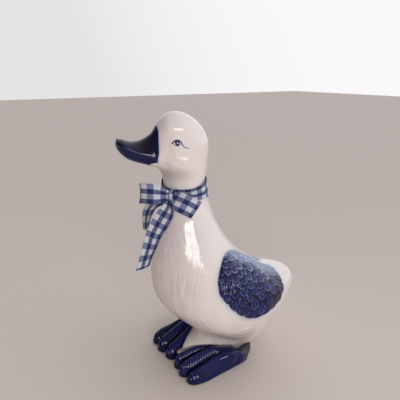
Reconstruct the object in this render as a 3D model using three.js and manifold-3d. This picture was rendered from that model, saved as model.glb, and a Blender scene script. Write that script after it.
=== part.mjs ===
// A standing porcelain duck, about 22 cm high, with a gingham ribbon tied in a bow round its neck.
// Millimetres, +Z up. The duck faces -Y and its left side is +X.
// The forms are laid out from the line through the toe tips, and moved to the box centre at the end.

import * as THREE from 'three';
import { mergeVertices } from 'three/addons/utils/BufferGeometryUtils.js';
import Module from 'manifold-3d';

const wasm = await Module();
wasm.setup();

// Driving dimensions.
const duckHeight = 221.5;
const bellyBottom = 7.5;
const bodyRings = 30;
const bodySides = 38;
const headCentre = [0, 16];
const headTurn = 20;
const billSides = 20;
const wingPole = [41, 72];
const wingTilt = 25;
const wingScales = 20;
const wingRows = [0.32, 0.5, 0.67, 0.84, 1];
const footLength = 62;
const footAcross = 18;
const footStations = [0, 0.012, 0.036, 0.075, 0.13, 0.2, 0.28, 0.38, 0.49, 0.6, 0.72, 0.84, 0.93, 0.98, 1];
const ribbonWidth = 15;
const ribbonThickness = 1;
const ribbonGap = 0.45;
const collarSides = 30;
const stripSteps = 2;
const collarBottom = 154.5;
const collarTop = 169;
const knotCentre = [10.8, -1.2, 159];

const radians = THREE.MathUtils.degToRad;
const mix = THREE.MathUtils.lerp;
const clamp = THREE.MathUtils.clamp;
const smooth = THREE.MathUtils.smoothstep;

// A smooth profile through [position, value] pairs that never overshoots them.
function profile(pairs) {
  const slopes = pairs.map((pair, i) => {
    if (i === 0 || i === pairs.length - 1) {
      const a = pairs[Math.max(i - 1, 0)];
      const b = pairs[Math.min(i + 1, pairs.length - 1)];
      return (b[1] - a[1]) / (b[0] - a[0]);
    }
    const before = (pair[1] - pairs[i - 1][1]) / (pair[0] - pairs[i - 1][0]);
    const after = (pairs[i + 1][1] - pair[1]) / (pairs[i + 1][0] - pair[0]);
    return before * after <= 0 ? 0 : (2 * before * after) / (before + after);
  });
  return (position) => {
    const x = clamp(position, pairs[0][0], pairs[pairs.length - 1][0]);
    let i = 0;
    while (i < pairs.length - 2 && x > pairs[i + 1][0]) i += 1;
    const span = pairs[i + 1][0] - pairs[i][0];
    const t = (x - pairs[i][0]) / span;
    return pairs[i][1] * (1 + 2 * t) * (1 - t) ** 2
      + pairs[i + 1][1] * t * t * (3 - 2 * t)
      + span * slopes[i] * t * (1 - t) ** 2
      + span * slopes[i + 1] * t * t * (t - 1);
  };
}

// A closed skin over rings of points. Each end is closed to its own middle point.
function loft(rings, startPoint, endPoint) {
  const count = rings[0].length;
  const positions = rings.flat(2);
  const indices = [];
  for (let ring = 0; ring < rings.length - 1; ring += 1) {
    for (let side = 0; side < count; side += 1) {
      const next = (side + 1) % count;
      const a = ring * count + side;
      const b = ring * count + next;
      const c = (ring + 1) * count + next;
      const d = (ring + 1) * count + side;
      indices.push(a, b, c, a, c, d);
    }
  }
  const start = rings.length * count;
  positions.push(...startPoint, ...endPoint);
  const last = (rings.length - 1) * count;
  for (let side = 0; side < count; side += 1) {
    const next = (side + 1) % count;
    indices.push(start, next, side);
    indices.push(start + 1, last + side, last + next);
  }
  const geometry = new THREE.BufferGeometry();
  geometry.setAttribute('position', new THREE.Float32BufferAttribute(positions, 3));
  geometry.setIndex(indices);
  return geometry;
}

// A closed skin over rings that run round to the first ring again.
function hoop(rings) {
  const count = rings[0].length;
  const indices = [];
  for (let ring = 0; ring < rings.length; ring += 1) {
    const following = (ring + 1) % rings.length;
    for (let side = 0; side < count; side += 1) {
      const next = (side + 1) % count;
      const a = ring * count + side;
      const b = ring * count + next;
      const c = following * count + next;
      const d = following * count + side;
      indices.push(a, b, c, a, c, d);
    }
  }
  const geometry = new THREE.BufferGeometry();
  geometry.setAttribute('position', new THREE.Float32BufferAttribute(rings.flat(2), 3));
  geometry.setIndex(indices);
  return geometry;
}

function solid(geometry) {
  const bare = geometry.clone();
  bare.deleteAttribute('normal');
  bare.deleteAttribute('uv');
  const merged = mergeVertices(bare, 1e-4);
  const build = (triVerts) => new wasm.Manifold(new wasm.Mesh({
    numProp: 3,
    vertProperties: new Float32Array(merged.attributes.position.array),
    triVerts,
  }));
  const outward = build(new Uint32Array(merged.index.array));
  if (outward.volume() > 0) return outward;
  const flipped = new Uint32Array(merged.index.array);
  for (let i = 0; i < flipped.length; i += 3) {
    [flipped[i], flipped[i + 1]] = [flipped[i + 1], flipped[i]];
  }
  return build(flipped);
}

function toGeometry(body) {
  const mesh = body.getMesh();
  const geometry = new THREE.BufferGeometry();
  geometry.setAttribute('position', new THREE.Float32BufferAttribute(mesh.vertProperties, 3));
  geometry.setIndex(new THREE.Uint32BufferAttribute(mesh.triVerts, 1));
  return geometry;
}

function mirrored(geometry) {
  const copy = geometry.clone();
  copy.applyMatrix4(new THREE.Matrix4().makeScale(-1, 1, 1));
  return copy;
}

// Body, neck and head: level slices, each a front half and a back half of an ellipse.
// The breast leads, the neck rises over it, and the slices reach back into the short tail.
const sliceFront = profile([
  [7.5, 64], [12, 58], [24, 38], [36, 18.5], [50, 4], [60, -4], [68, -8], [76, -10], [86, -11], [99, -11],
  [112, -9], [125, -5], [140, -1], [155, 0], [167, 0], [180, -3], [195, -6], [207, -6], [215, -3],
  [219.5, 2], [221, 6.2], [221.5, 9],
]);
const sliceBack = profile([
  [7.5, 84], [12, 94], [24, 105], [36, 117], [50, 128], [60, 133], [64, 131.5], [67, 127.5], [69.5, 119],
  [72, 109], [75, 99], [80, 91.5], [86, 84.5], [92, 76.5], [99, 68], [112, 56], [125, 47], [140, 40],
  [155, 35.5], [167, 33.5], [180, 35], [195, 36.5], [207, 32.5], [215, 25.5], [219.5, 18], [221, 14.6],
  [221.5, 12],
]);
const sliceHalfWidth = profile([
  [7.5, 12], [12, 23], [24, 35], [36, 41.5], [50, 45.5], [60, 46], [68, 45.5], [76, 44], [86, 41.5],
  [99, 37], [112, 31.5], [125, 26], [140, 20.5], [155, 17.5], [167, 17], [180, 18.5], [195, 19.5],
  [207, 17], [215, 12.5], [219.5, 7.5], [221, 3.8], [221.5, 1],
]);
const sliceWidest = profile([
  [7.5, 74], [40, 52], [76, 38], [112, 22], [150, 17.5], [200, 15], [221.5, 10.5],
]);

// The point on a slice at an angle: 0 is the front, 90 the left side, 180 the back.
function slicePoint(z, angle, outward = 0) {
  const middle = sliceWidest(z);
  const along = Math.cos(angle);
  const reach = along > 0 ? middle - sliceFront(z) : sliceBack(z) - middle;
  const x = sliceHalfWidth(z) * Math.sin(angle);
  const y = middle - reach * along;
  const normal = [Math.sin(angle) / sliceHalfWidth(z), -along / reach];
  const length = Math.hypot(...normal);
  return [x + (outward * normal[0]) / length, y + (outward * normal[1]) / length, z];
}

function bodyGeometry() {
  const rings = [];
  for (let ring = 0; ring <= bodyRings; ring += 1) {
    const t = ring / bodyRings;
    const eased = mix(t, 0.5 - 0.5 * Math.cos(Math.PI * t), 0.55);
    const z = mix(bellyBottom, duckHeight - 0.15, eased);
    const points = [];
    for (let side = 0; side < bodySides; side += 1) {
      points.push(slicePoint(z, (side / bodySides) * 2 * Math.PI));
    }
    rings.push(points);
  }
  return loft(rings, [0, 74, bellyBottom], [0, 9.5, duckHeight]);
}

// Bill: sections square to the way the head looks, with a mouth line where the upper half overhangs.
const billTop = profile([
  [6, 212], [14, 213.4], [20, 210.4], [25, 205], [30, 201.8], [35, 199.9], [39, 199.7], [43, 200.5],
  [47, 201.7], [49.8, 201.8], [51.2, 200.6], [51.6, 199.4],
]);
const billBottom = profile([
  [6, 180], [12, 179], [16, 177.6], [21, 178.8], [25, 180], [30, 181.6], [35, 183.1], [40, 184.9],
  [44.5, 187.3], [48.3, 190.9], [50.3, 193.6], [51.6, 196],
]);
const billLip = profile([
  [6, 185], [20, 186.2], [24.9, 187], [28.6, 188.6], [33.3, 190.5], [37.7, 192.3], [42, 194.4],
  [47.6, 196.8], [51.6, 197.4],
]);
const billHalfWidth = profile([
  [6, 8], [14, 12.4], [19.5, 13], [25, 12.2], [32, 11.7], [39, 12.1], [44, 12.2], [47.5, 10.9],
  [50, 8], [51.2, 4.8], [51.6, 3.4],
]);

function billGeometry() {
  const stations = [6, 12, 16, 19.5, 23, 26.5, 30, 34, 38, 42, 45.5, 48.3, 50.4, 51.6];
  const turn = radians(headTurn);
  const ahead = [-Math.sin(turn), -Math.cos(turn)];
  const across = [Math.cos(turn), -Math.sin(turn)];
  const rings = stations.map((station) => {
    const points = [];
    for (let side = 0; side < billSides; side += 1) {
      const angle = ((side + 0.5) / billSides) * 2 * Math.PI;
      const upper = Math.sin(angle) > 0;
      const height = upper ? billTop(station) - billLip(station) : billLip(station) - billBottom(station);
      const narrowing = upper ? 1 : mix(1, 0.86, smooth(station, 18, 24));
      const sideways = billHalfWidth(station) * narrowing * Math.sign(Math.cos(angle))
        * Math.abs(Math.cos(angle)) ** 0.8;
      const x = headCentre[0] + station * ahead[0] + sideways * across[0];
      const y = headCentre[1] + station * ahead[1] + sideways * across[1];
      points.push([x, y, billLip(station) + height * Math.sin(angle)]);
    }
    return points;
  });
  const end = (station, z) => [headCentre[0] + station * ahead[0], headCentre[1] + station * ahead[1], z];
  return loft(rings, end(6, 196), end(51.9, 197.6));
}

// Wings: a raised pad on each flank, in rows of scalloped feathers that fan out from the shoulder.
// The outline is drawn on a plane that leans in with the flank: first back from the toes, then up.
const wingOutline = [
  [50, 87.5], [42, 88], [35, 85], [29, 78], [24.5, 69], [23.6, 62], [24.7, 55], [28.7, 48.6], [33.6, 42],
  [39, 36.5], [45, 32.2], [52.5, 28.4], [60, 26.8], [70.7, 27], [82.5, 30], [91, 35.2], [95.5, 42],
  [98.5, 49.5], [102.5, 55.5], [106, 60.5], [104.5, 63.5], [97, 67], [87, 71.5], [76, 77], [62, 83.2],
];
const wingCurve = new THREE.CatmullRomCurve3(
  wingOutline.map(([back, up]) => new THREE.Vector3(back, up, 0)),
  true,
);

// The flank's surface above a point of the wing plane, found by halving the way in.
function flankPoint(back, up, lift) {
  const tilt = radians(wingTilt);
  const out = [Math.cos(tilt), 0, Math.sin(tilt)];
  const base = [-up * Math.sin(tilt), back, up * Math.cos(tilt)];
  const at = (distance) => base.map((value, i) => value + distance * out[i]);
  const inside = ([x, y, z]) => {
    const middle = sliceWidest(z);
    const reach = y < middle ? middle - sliceFront(z) : sliceBack(z) - middle;
    return (x / sliceHalfWidth(z)) ** 2 + ((y - middle) / reach) ** 2 < 1;
  };
  let near = 8;
  let far = 110;
  for (let step = 0; step < 40; step += 1) {
    const half = (near + far) / 2;
    if (inside(at(half))) near = half;
    else far = half;
  }
  return at(near + lift);
}

function wingGeometry() {
  const samples = wingScales * 2;
  const rimPoints = wingCurve.getSpacedPoints(samples).slice(0, samples);
  const rings = [];
  const ringAt = (fraction, lift) => rimPoints.map((rim, i) => {
    const f = fraction(i);
    const back = mix(wingPole[0], rim.x, f);
    const up = mix(wingPole[1], rim.y, f);
    return flankPoint(back, up, lift(i, f, rim));
  });
  // The pad is thick along the lower and front edges, and thins out towards the back.
  const padLift = (f, rim) => {
    const edge = mix(2.4, 0.9, smooth(rim.y + 0.35 * rim.x, 84, 104));
    return edge + 1.5 * (1 - f * f);
  };
  // The feathers get lower where the rows crowd together at the shoulder.
  const room = (rim) => smooth(Math.hypot(rim.x - wingPole[0], rim.y - wingPole[1]), 10, 34);
  wingRows.forEach((rowEnd, row) => {
    const rowStart = row === 0 ? 0.12 : wingRows[row - 1];
    const isTip = (i) => (i + row) % 2 === 0;
    const notch = row === wingRows.length - 1 ? 0.022 : 0.035;
    const wasTip = (i) => row === 0 || (i + row - 1) % 2 === 0;
    const start = (i) => rowStart + 0.012 - (wasTip(i) ? 0 : 0.035);
    const end = (i) => rowEnd - (isTip(i) ? 0 : notch);
    rings.push(ringAt(start, (i, f, rim) => padLift(f, rim) - 0.8 * room(rim)));
    rings.push(ringAt(
      (i) => mix(start(i), end(i), 0.55),
      (i, f, rim) => padLift(f, rim) + (isTip(i) ? 0.35 : -0.25) * room(rim),
    ));
    rings.push(ringAt(end, (i, f, rim) => padLift(f, rim) + (isTip(i) ? 0.55 : 0.1) * room(rim)));
  });
  const rimEnd = (i) => 1 - ((i + wingRows.length - 1) % 2 === 0 ? 0 : 0.022) + 0.006;
  rings.push(ringAt(rimEnd, () => -2.5));
  const middle = flankPoint(wingPole[0], wingPole[1], padLift(0, { x: 60, y: 60 }) + 0.2);
  const deep = flankPoint(55, 58, -12);
  return loft(rings, middle, deep);
}

// Legs and the glazed mass between the feet, running up into the belly.
const legFront = profile([[1.2, 12], [6, 12], [14, 16], [22, 25], [34, 34]]);
const legBack = profile([[1.2, 56], [6, 60], [14, 74], [22, 84], [34, 92]]);
const legHalfWidth = profile([[1.2, 17], [6, 19], [14, 23], [22, 27], [34, 30]]);

function legGeometry() {
  const rings = [1.2, 4, 8, 12, 17, 23, 29, 34].map((z) => {
    const points = [];
    const middle = mix(legFront(z), legBack(z), 0.68);
    for (let side = 0; side < 24; side += 1) {
      const angle = (side / 24) * 2 * Math.PI;
      const along = Math.cos(angle);
      const reach = along > 0 ? middle - legFront(z) : legBack(z) - middle;
      const pointed = mix(0.55, 0.4, smooth(z, 4, 22));
      const taper = along > 0 ? 1 - pointed * along * Math.sqrt(along) : 1;
      points.push([legHalfWidth(z) * taper * Math.sin(angle), middle - reach * along, z]);
    }
    return points;
  });
  return loft(rings, [0, 45, 1.2], [0, 60, 34]);
}

// Feet: three round toes with sunk webs between, rising to the ankle and narrowing to the heel.
const footOuter = profile([
  [0, 36.6], [0.15, 37.6], [0.3, 37], [0.45, 36.2], [0.6, 35.8], [0.75, 35], [0.88, 34.2], [1, 33.2],
]);
const footInner = profile([[0, 0.9], [0.1, 1.2], [0.22, 2.8], [0.4, 6.5], [0.6, 13.5], [0.8, 21.5], [1, 27]]);
const innerToe = profile([
  [0, 11.5], [0.1, 13.6], [0.2, 15.5], [0.34, 18.2], [0.48, 19.4], [0.6, 17.8], [0.75, 14.6], [0.9, 11.5],
  [1, 10],
]);
const middleToe = profile([
  [0, 10.2], [0.1, 12.2], [0.22, 14.6], [0.38, 17.4], [0.52, 19], [0.6, 18], [0.75, 13.8], [0.9, 10.8],
  [1, 9.5],
]);
const outerToe = profile([
  [0, 8.4], [0.08, 9.1], [0.15, 10.4], [0.3, 12.4], [0.45, 15.6], [0.6, 17], [0.75, 14.4], [0.9, 12],
  [1, 10],
]);
const toeRound = (v) => Math.sqrt(Math.abs(Math.sin(v * 3 * Math.PI)));

function footPoint(u, v) {
  const tip = mix(6.5, 0, toeRound(v)) - 2 * Math.sin(Math.PI * v) ** 2 + 1;
  const y = mix(tip, footLength, u);
  const x = mix(footInner(u), footOuter(u), v);
  const fromTip = clamp((y - tip) / 5.5, 0, 1);
  const fromHeel = clamp((footLength - y) / 5, 0, 1);
  const noseRound = Math.sqrt(1 - (1 - fromTip) ** 2) * Math.sqrt(1 - (1 - fromHeel) ** 2);
  const sideRound = Math.sqrt(1 - Math.abs(2 * v - 1) ** mix(5, 2.8, smooth(u, 0.15, 0.5)));
  const toe = clamp(3 * v - 0.5, 0, 2);
  const innerHalf = mix(innerToe(u), middleToe(u), Math.min(toe, 1));
  const crest = mix(innerHalf, outerToe(u), Math.max(toe - 1, 0));
  const toes = mix(mix(0.5, 1, toeRound(v)), 1, smooth(u, 0.25, 0.75));
  return [x, y, crest * noseRound * sideRound * toes];
}

function footGeometry() {
  const rings = [];
  for (const u of footStations) {
    const points = [];
    for (let side = 0; side <= footAcross; side += 1) points.push(footPoint(u, side / footAcross));
    rings.push(points);
  }
  const columns = footAcross + 1;
  const positions = rings.flat(2);
  const indices = [];
  const floor = rings.length * columns;
  for (const [x, y] of rings.flat()) positions.push(x, y, 0);
  for (let ring = 0; ring < rings.length - 1; ring += 1) {
    for (let side = 0; side < footAcross; side += 1) {
      const a = ring * columns + side;
      const b = a + 1;
      const c = a + columns + 1;
      const d = a + columns;
      indices.push(a, b, c, a, c, d);
      indices.push(floor + a, floor + c, floor + b, floor + a, floor + d, floor + c);
    }
  }
  const geometry = new THREE.BufferGeometry();
  geometry.setAttribute('position', new THREE.Float32BufferAttribute(positions, 3));
  geometry.setIndex(indices);
  return geometry;
}

// The right foot is wider than the left, its outer toe higher and its inner toe lower.
function spread(foot) {
  const points = foot.getAttribute('position');
  for (let i = 0; i < points.count; i += 1) {
    const x = points.getX(i) * 1.14;
    points.setX(i, x);
    points.setZ(i, points.getZ(i) * (0.85 - 0.0098 * x));
  }
  return foot;
}

// Spur: the short turned-up claw behind the heel.
function spurGeometry() {
  const path = [
    [28.2, 53, 6, 5.8], [27.8, 58, 5.6, 4.8], [27.8, 62.3, 7.4, 4.9], [28.9, 63.8, 10.6, 3.7],
    [30.8, 64.4, 15, 2],
  ];
  const rings = path.map(([x, y, z, radius], i) => {
    const lean = mix(0, 1.1, i / (path.length - 1));
    const points = [];
    for (let side = 0; side < 12; side += 1) {
      const angle = (side / 12) * 2 * Math.PI;
      const up = radius * Math.sin(angle);
      points.push([x + radius * 0.85 * Math.cos(angle), y - up * Math.sin(lean), z + up * Math.cos(lean)]);
    }
    return points;
  });
  return loft(rings, [28.2, 52.4, 6], [31.4, 64.6, 17]);
}

function duckSolid() {
  let body = solid(bodyGeometry());
  const wing = wingGeometry();
  const foot = footGeometry();
  const spur = spurGeometry();
  for (const geometry of [billGeometry(), legGeometry(), wing, mirrored(wing), foot,
    spread(mirrored(foot)), spur, spread(mirrored(spur))]) {
    body = body.add(solid(geometry));
  }
  return body;
}

// Ribbon: strips of one width and thickness along hand-laid paths.
// Each step of a path gives the middle of the strip and its direction across.
function stripRings(path, width, thickness) {
  const curve = (points) => {
    const corners = points.map((point) => new THREE.Vector3(...point));
    return new THREE.CatmullRomCurve3(corners, false, 'centripetal');
  };
  const centres = curve(path.map(([centre]) => centre));
  const acrosses = curve(path.map(([, across]) => across));
  const steps = (path.length - 1) * stripSteps;
  const rings = [];
  for (let step = 0; step <= steps; step += 1) {
    const t = step / steps;
    const centre = centres.getPoint(t);
    const tangent = centres.getTangent(t);
    const across = acrosses.getPoint(t).normalize();
    const normal = new THREE.Vector3().crossVectors(tangent, across).normalize();
    const half = width(t) / 2;
    const corner = (a, b) => centre.clone()
      .addScaledVector(across, a * half)
      .addScaledVector(normal, (b * thickness) / 2)
      .toArray();
    rings.push([corner(-1, -1), corner(1, -1), corner(1, 1), corner(-1, 1)]);
  }
  const middleOf = (ring) => [0, 1, 2].map((i) => ring.reduce((sum, point) => sum + point[i], 0) / 4);
  return loft(rings, middleOf(rings[0]), middleOf(rings[rings.length - 1]));
}

function collarGeometry() {
  const rings = [];
  for (let side = 0; side < collarSides; side += 1) {
    const angle = (side / collarSides) * 2 * Math.PI;
    const toKnot = Math.cos(angle - radians(38));
    const gathered = smooth(toKnot, 0.35, 0.98);
    const low = mix(collarBottom, collarBottom + 1.5, gathered);
    const high = mix(collarTop, collarBottom + 9.5, smooth(toKnot, -0.3, 0.95));
    rings.push([
      slicePoint(low, angle, ribbonGap),
      slicePoint(low, angle, ribbonGap + ribbonThickness),
      slicePoint(high, angle, ribbonGap + ribbonThickness),
      slicePoint(high, angle, ribbonGap),
    ]);
  }
  return hoop(rings);
}

function knotGeometry() {
  const knot = new THREE.SphereGeometry(1, 12, 8);
  knot.scale(6.2, 3.6, 6.8);
  knot.rotateZ(radians(40));
  knot.translate(...knotCentre);
  return knot;
}

const longTail = [
  [[12.5, -3.2, 157.5], [-2, 10, -9]], [[14.6, -5.6, 150], [-2, 12, -8]],
  [[10.7, -10.6, 138.8], [1, 12, -8.5]],
  [[6.9, -14.6, 128.2], [-1.4, 12.9, -7.6]], [[4.6, -17.4, 117.2], [-3.8, 13.5, -5.4]],
  [[2.9, -20.4, 107.2], [-4.9, 14.1, -1.7]], [[1.9, -22.4, 100], [-4.9, 14.2, -0.8]],
];
const shortTail = [
  [[9, -3.5, 158], [12, 0, -8]], [[3.4, -9.8, 153.6], [14.4, 1.5, -2]],
  [[0.4, -14.2, 147.4], [14.4, 2.9, 2.8]],
  [[0.2, -16.5, 140.4], [14.2, 0.9, 4.9]], [[1, -17.8, 132], [13.7, -2.1, 5.7]],
];
const leftLoop = [
  [[11, -2.5, 160], [3.7, -2.3, -14.3]], [[12.5, -10.5, 162], [3.7, -2.3, -14.3]],
  [[9.6, -17.2, 162.9], [3.7, -2.3, -14.3]], [[4.6, -21.3, 162.7], [3.7, -2.3, -14.3]],
  [[0.2, -21.6, 161.8], [3.7, -2.3, -14.3]], [[-2, -18, 160.9], [3.7, -2.3, -14.3]],
  [[1.2, -11.3, 160.2], [3.7, -2.3, -14.3]], [[8.4, -3.2, 159.3], [3.7, -2.3, -14.3]],
];
const rightLoop = [
  [[12, -1.5, 159], [-1, -8.5, -12.3]], [[19.5, -2.4, 158.5], [-1, -8.5, -12.3]],
  [[26.2, 1.1, 156.7], [-1, -8.7, -12.2]], [[28.6, 7.4, 152.8], [-1.2, -8.9, -12]],
  [[27.2, 11.6, 149.9], [-1.2, -8.9, -12]], [[23.6, 11.2, 150.4], [-1.2, -8.9, -12]],
  [[19.6, 5.6, 153.8], [-1.1, -8.7, -12.2]], [[13, 0, 157.5], [-1, -8.5, -12.3]],
];

function ribbonSolid() {
  const tied = (t) => ribbonWidth * mix(0.5, 1, smooth(t, 0, 0.25));
  const looped = (t) => ribbonWidth * mix(0.5, 1, smooth(Math.min(t, 1 - t), 0, 0.25));
  let ribbon = solid(collarGeometry());
  const strips = [
    stripRings(longTail, tied, ribbonThickness),
    stripRings(shortTail, tied, ribbonThickness),
    stripRings(leftLoop, looped, ribbonThickness),
    stripRings(rightLoop, looped, ribbonThickness),
  ];
  for (const geometry of [knotGeometry(), ...strips]) ribbon = ribbon.add(solid(geometry));
  return ribbon;
}

// Assembly: both pieces move together until the box centre lies over the origin.
const duckGeometry = toGeometry(duckSolid());
const bowGeometry = toGeometry(ribbonSolid());
duckGeometry.computeBoundingBox();
bowGeometry.computeBoundingBox();
const box = duckGeometry.boundingBox.clone().union(bowGeometry.boundingBox);
const centre = box.getCenter(new THREE.Vector3());

const glaze = new THREE.MeshStandardMaterial({ color: 0xe6ddd8, roughness: 0.15, metalness: 0 });
const gingham = new THREE.MeshStandardMaterial({ color: 0x5a6794, roughness: 0.85, metalness: 0 });

const duck = new THREE.Mesh(duckGeometry, glaze);
duck.name = 'duck';
const ribbonBow = new THREE.Mesh(bowGeometry, gingham);
ribbonBow.name = 'ribbon_bow';

const group = new THREE.Group();
for (const mesh of [duck, ribbonBow]) {
  mesh.position.set(-centre.x, -centre.y, -box.min.z);
  group.add(mesh);
}

export default group;
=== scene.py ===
import math

import bmesh
import bpy
import numpy as np
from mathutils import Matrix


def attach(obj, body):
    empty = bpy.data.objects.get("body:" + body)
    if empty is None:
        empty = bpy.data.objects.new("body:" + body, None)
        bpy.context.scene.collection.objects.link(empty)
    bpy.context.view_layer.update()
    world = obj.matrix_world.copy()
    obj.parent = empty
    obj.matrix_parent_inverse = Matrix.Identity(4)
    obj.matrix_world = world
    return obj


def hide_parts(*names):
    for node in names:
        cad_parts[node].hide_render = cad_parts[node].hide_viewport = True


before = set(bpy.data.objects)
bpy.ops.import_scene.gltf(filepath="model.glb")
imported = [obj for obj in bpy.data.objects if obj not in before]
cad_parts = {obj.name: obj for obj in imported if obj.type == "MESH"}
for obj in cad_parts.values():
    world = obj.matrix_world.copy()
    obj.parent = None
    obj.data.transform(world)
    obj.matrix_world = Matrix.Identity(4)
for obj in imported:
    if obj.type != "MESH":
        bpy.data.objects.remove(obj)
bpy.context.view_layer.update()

import openvdb
from mathutils import Vector

# Forms are worked out in millimetres, measured back from the line through the toe tips.
toeLine = 49.585  # from the toe line to the frame's origin


def toFrame(points):
    return (np.asarray(points, float) - (0, toeLine, 0)) / 1000


def mix(a, b, t):
    return a + (b - a) * t


def smooth(x, low, high):
    t = np.clip((x - low) / (high - low), 0, 1)
    return t * t * (3 - 2 * t)


def unit(vectors):  # each made one long
    return vectors / np.linalg.norm(vectors, axis=1, keepdims=True)


def profile(*pairs):  # a smooth curve through the pairs that never overshoots them
    x, y = np.array(pairs, float).T
    steps = np.diff(y) / np.diff(x)
    slopes = np.concatenate(([steps[0]], np.zeros(len(x) - 2), [steps[-1]]))
    for i in range(1, len(x) - 1):
        if steps[i - 1] * steps[i] > 0:
            slopes[i] = 2 * steps[i - 1] * steps[i] / (steps[i - 1] + steps[i])
    fine = np.linspace(x[0], x[-1], 1500)
    i = np.clip(np.searchsorted(x, fine, side="right") - 1, 0, len(x) - 2)
    span = x[i + 1] - x[i]
    t = (fine - x[i]) / span
    values = (y[i] * (1 + 2 * t) * (1 - t) ** 2 + y[i + 1] * t * t * (3 - 2 * t)
              + span * slopes[i] * t * (1 - t) ** 2 + span * slopes[i + 1] * t * t * (t - 1))
    return lambda q: np.interp(q, fine, values)


def wobble(points, size, seed):  # soft, repeatable unevenness between about -1 and 1
    x, y, z = np.asarray(points, float).T / size
    total = 0
    for k in range(5):
        a, b, c = np.sin(np.array((1.3, 2.1, 2.9)) * (k + 1) + seed) * 1.4
        total = total + np.sin(a * x + b * y + c * z + 1.7 * k + seed) / 2.6
    return total


def bend(a, b, c, d, t):  # a smooth curve from b to c, with a and d as its neighbours
    square = (2 * a - 5 * b + 4 * c - d) * t ** 2
    cube = (3 * b - a - 3 * c + d) * t ** 3
    return 0.5 * (2 * b + (c - a) * t + square + cube)


def closedCurve(corners, count):
    corners = np.array(corners, float)
    n = len(corners)
    fine = []
    for i in range(n):
        a, b, c, d = (corners[(i + k) % n] for k in (-1, 0, 1, 2))
        fine.extend(bend(a, b, c, d, t) for t in np.linspace(0, 1, 24, endpoint=False))
    fine = np.array(fine + fine[:1])
    length = np.concatenate(([0], np.cumsum(np.linalg.norm(np.diff(fine, axis=0), axis=1))))
    spots = np.linspace(0, length[-1], count, endpoint=False)
    return np.column_stack([np.interp(spots, length, fine[:, k]) for k in (0, 1)])


def openCurve(corners, count):
    corners = np.array(corners, float)
    corners = np.vstack((2 * corners[0] - corners[1], corners, 2 * corners[-1] - corners[-2]))
    fine = []
    for a, b, c, d in zip(corners, corners[1:], corners[2:], corners[3:]):
        fine.extend(bend(a, b, c, d, t) for t in np.linspace(0, 1, 20, endpoint=False))
    fine = np.array(fine + [corners[-2]])
    length = np.concatenate(([0], np.cumsum(np.linalg.norm(np.diff(fine[:, :3], axis=0), axis=1))))
    spots = np.linspace(0, length[-1], count)
    return np.column_stack([np.interp(spots, length, fine[:, k]) for k in range(fine.shape[1])]), length[-1]


# Forms. Each function gives roughly the distance from a point to a surface, negative inside.

body = dict(
    front=profile((6.5, 70), (7.5, 64), (12, 58), (24, 38), (36, 18.5), (50, 4), (60, -4), (68, -8),
                  (76, -10), (86, -11), (99, -11), (112, -9), (125, -5), (140, -1), (155, 0), (167, 0),
                  (180, -3), (195, -6), (207, -6), (215, -3), (219.5, 2), (221, 6.2), (221.4, 8.6),
                  (221.5, 10.1)),
    back=profile((6.5, 78), (7.5, 84), (12, 94), (24, 105), (36, 117), (50, 128), (60, 133),
                 (64, 131.5), (67, 127.5), (69.5, 119), (72, 109), (75, 99), (80, 91.5), (86, 84.5),
                 (92, 76.5), (99, 68), (112, 56), (125, 47), (140, 40), (155, 35.5), (167, 33.5),
                 (180, 35), (195, 36.5), (207, 32.5), (215, 25.5), (219.5, 18), (221, 14.6),
                 (221.4, 12.4), (221.5, 11)),
    halfWidth=profile((6.5, 2), (7.5, 12), (12, 23), (24, 35), (36, 41.5), (50, 45.5), (60, 46),
                      (68, 45.5), (76, 44), (86, 41.5), (99, 37), (112, 31.5), (125, 26), (140, 20.5),
                      (155, 17.5), (167, 17), (180, 18.5), (195, 19.5), (207, 17), (215, 12.5),
                      (219.5, 7.5), (221, 3.75), (221.4, 1.7), (221.5, 0.5)),
    widest=profile((7.5, 74), (40, 52), (76, 38), (112, 22), (150, 17.5), (200, 15), (221.5, 10.5)),
    low=6.55,  # below this the belly is flat
    high=219,
)


def slices(points):  # the body's upright stack of ovals
    x, y, z = points.T
    middle = body["widest"](z)
    reach = np.where(y < middle, middle - body["front"](z), body["back"](z) - middle)
    return np.hypot(x / body["halfWidth"](z), (y - middle) / reach) - 1


def asDistance(shape, points, step=0.05):
    here = shape(points)
    grade = np.zeros(len(points))
    for axis in range(3):
        moved = points.copy()
        moved[:, axis] += step
        grade += ((shape(moved) - here) / step) ** 2
    return here / np.maximum(np.sqrt(grade), 1e-3)


def alongLine(points, a, b):  # the nearest place on the line from a to b, between 0 and 1
    return np.clip((points - a) @ (b - a) / ((b - a) @ (b - a)), 0, 1)


def pastEnd(inside, beyond):  # distances where a form is cut off flat, this far beyond the cut
    return np.where(beyond > 0, np.hypot(np.maximum(inside, 0), beyond), inside)


def join(a, b, radius):  # a union with a fillet
    t = np.clip(0.5 + 0.5 * (b - a) / radius, 0, 1)
    return mix(b, a, t) - radius * t * (1 - t)


crown = dict(centre=196, height=25.5, halfWidth=18.85, halfLength=21.3, back=13.25, lean=0.26)


def crownForm(points):
    def shape(p):
        x, y, z = p.T
        middle = crown["back"] - crown["lean"] * (z - 207)
        halfWidth = crown["halfWidth"] * (1 + 0.05 * smooth(z, 200, 212))
        return np.sqrt((x / halfWidth) ** 2 + ((y - middle) / crown["halfLength"]) ** 2
                       + ((z - crown["centre"]) / crown["height"]) ** 2) - 1

    return asDistance(shape, points)


def bodyForm(points):
    cut = np.clip(points, (-200, -200, body["low"]), (200, 300, body["high"]))
    whole = pastEnd(asDistance(slices, cut), np.maximum(body["low"] - points[:, 2], 0))
    top = points[:, 2] > 204
    if top.any():
        whole[top] = mix(whole[top], crownForm(points[top]), smooth(points[top, 2], 205, 213))
    return whole


head = dict(centre=(0, 16), turn=math.radians(20))


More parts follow.
